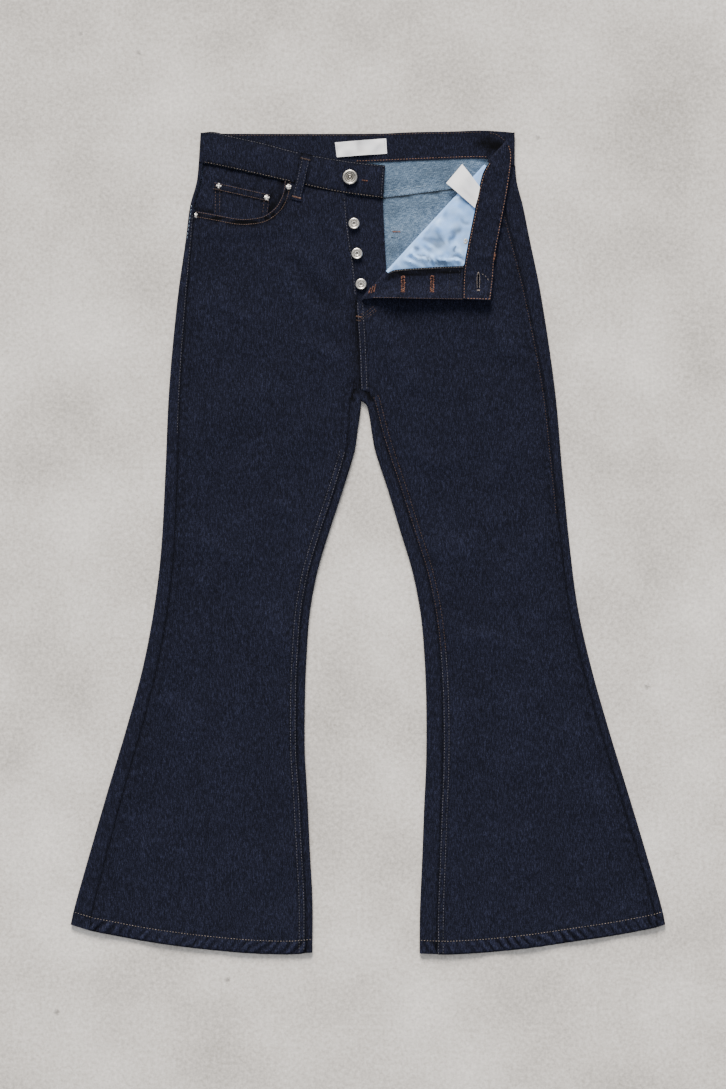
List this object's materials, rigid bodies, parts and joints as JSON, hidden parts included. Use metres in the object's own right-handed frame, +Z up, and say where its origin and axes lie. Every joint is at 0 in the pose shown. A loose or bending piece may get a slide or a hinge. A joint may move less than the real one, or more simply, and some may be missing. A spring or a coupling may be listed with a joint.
{
  "type": "bootcut jeans",
  "caption": "Bootcut jeans laid flat with the front up, the button fly open and its left corner turned back to show the inside.",
  "frame": {"origin": "bottom centre of the bounding box, on the surface that the jeans lie on", "axes": "+Y runs from the hems to the waist and is the longest extent, +X towards the wearer's left, +Z up through the layers, which is the shortest extent"},
  "size_m": [0.8189, 1.134, 0.0122],
  "materials": {
    "indigo_denim": "dark rinsed indigo denim, a slanted twill with a pale grey-blue inside",
    "pocket_cotton": "plain-woven pale blue pocket cotton",
    "woven_tab": "smooth white woven tape with nothing on it",
    "nickel": "satin nickel plating"
  },
  "bodies": {
    "root": {"back_right_panel": "indigo_denim", "back_left_panel": "indigo_denim", "back_right_yoke": "indigo_denim", "back_left_yoke": "indigo_denim", "back_right_pocket": "indigo_denim", "back_left_pocket": "indigo_denim", "front_right_panel": "indigo_denim", "front_left_panel": "indigo_denim", "waistband": "indigo_denim", "right_pocket_facing": "indigo_denim", "coin_pocket": "indigo_denim", "left_pocket_bag": "pocket_cotton", "fly_shield": "indigo_denim", "fly_facing": "indigo_denim", "belt_loop_front_right": "indigo_denim", "belt_loop_front_left": "indigo_denim", "belt_loop_back_right": "indigo_denim", "belt_loop_back_centre": "indigo_denim", "belt_loop_back_left": "indigo_denim", "waist_button": "nickel", "fly_button_1": "nickel", "fly_button_2": "nickel", "fly_button_3": "nickel", "rivet_coin_outer": "nickel", "rivet_coin_inner": "nickel", "rivet_mouth_inner": "nickel", "rivet_mouth_outer": "nickel", "rivet_flap_back": "nickel", "waist_label": "woven_tab", "care_label": "woven_tab"}
  },
  "joints": []
}
